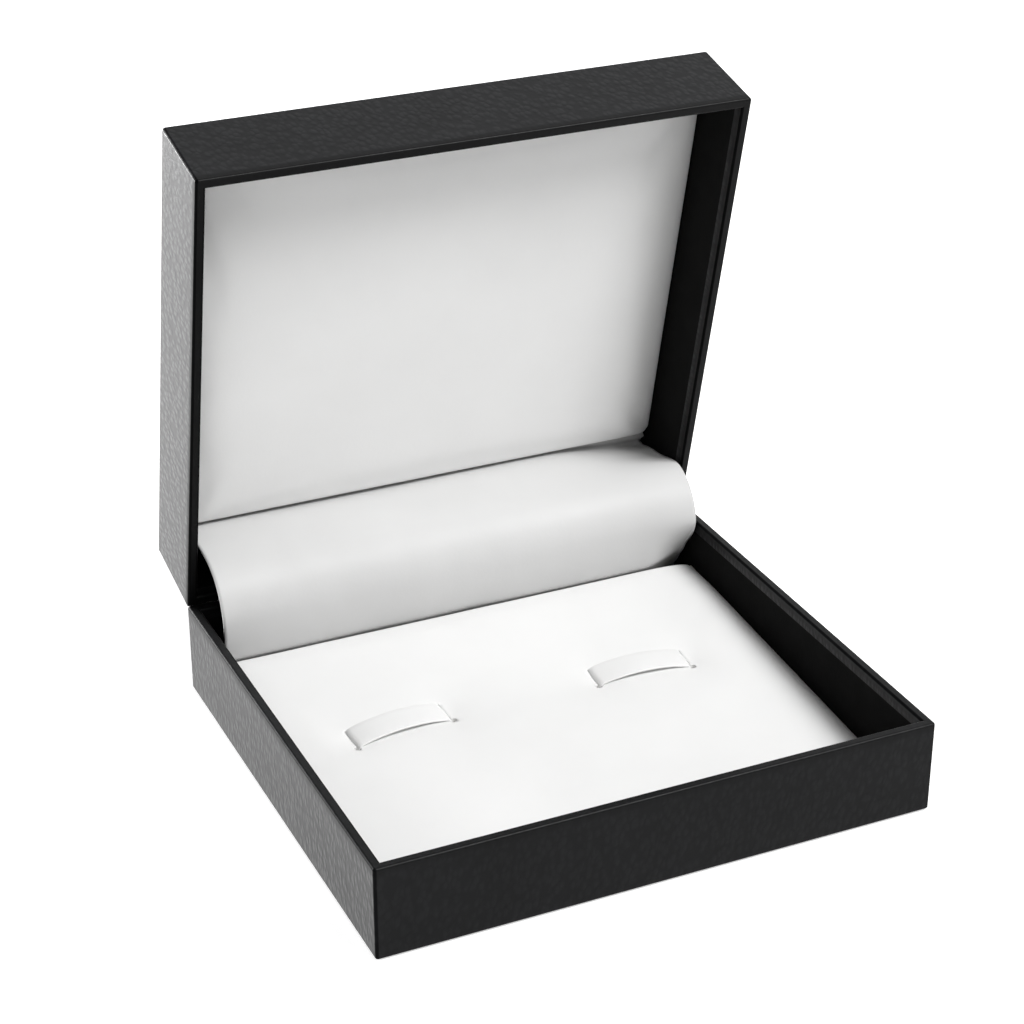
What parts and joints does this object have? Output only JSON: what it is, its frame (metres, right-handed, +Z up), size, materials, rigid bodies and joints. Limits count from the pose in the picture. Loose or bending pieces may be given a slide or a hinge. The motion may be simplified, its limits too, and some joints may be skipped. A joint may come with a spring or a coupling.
{
  "type": "cufflink display box",
  "caption": "Hinged black leatherette presentation box, lid open, with a tilted white cufflink pad with retaining straps, a padded lid lining and a flap over the hinge.",
  "frame": {"origin": "centre of the underside of the base", "axes": "+Z up, +X to the right seen from the front, +Y towards the hinge at the back"},
  "size_m": [0.09, 0.0949, 0.0967],
  "materials": {
    "board": "bare grey board",
    "leatherette": "embossed lizard grain, satin",
    "lining": "matt black",
    "underside": "matt black",
    "card": "uncoated",
    "foam": "open-cell foam",
    "pad_skin": "smooth satin white",
    "flap_skin": "smooth satin white",
    "strap": "smooth satin white",
    "hinge_steel": "plated",
    "rivet_steel": "plated",
    "spring_steel": "blued spring steel"
  },
  "bodies": {
    "base": {"base_tray": "board", "base_covering": "leatherette", "base_wall_lining": "lining", "base_underside_sheet": "underside", "base_pad_board": "card", "base_pad_foam": "foam", "base_pad_cover": "pad_skin", "cufflink_strap_left": "strap", "cufflink_strap_right": "strap", "pad_prop_frame": "card", "hinge_base_leaf": "hinge_steel", "hinge_base_rivets": "rivet_steel", "hinge_pin": "hinge_steel", "snap_spring_left": "spring_steel", "snap_spring_right": "spring_steel", "hinge_flap": "flap_skin"},
    "lid": {"lid_tray": "board", "lid_covering": "leatherette", "lid_wall_lining": "lining", "lid_pad_board": "card", "lid_pad_foam": "foam", "lid_pad_cover": "pad_skin", "hinge_lid_leaf": "hinge_steel", "hinge_lid_rivets": "rivet_steel"}
  },
  "joints": [
    {"name": "lid_hinge", "type": "hinge", "parent": "base", "child": "lid", "pos_m": [0, 0.04, 0.0154], "axis": [1, 0, 0], "range_deg": [0, 77.1], "deforming": ["hinge_flap", "snap_spring_left", "snap_spring_right"]}
  ]
}
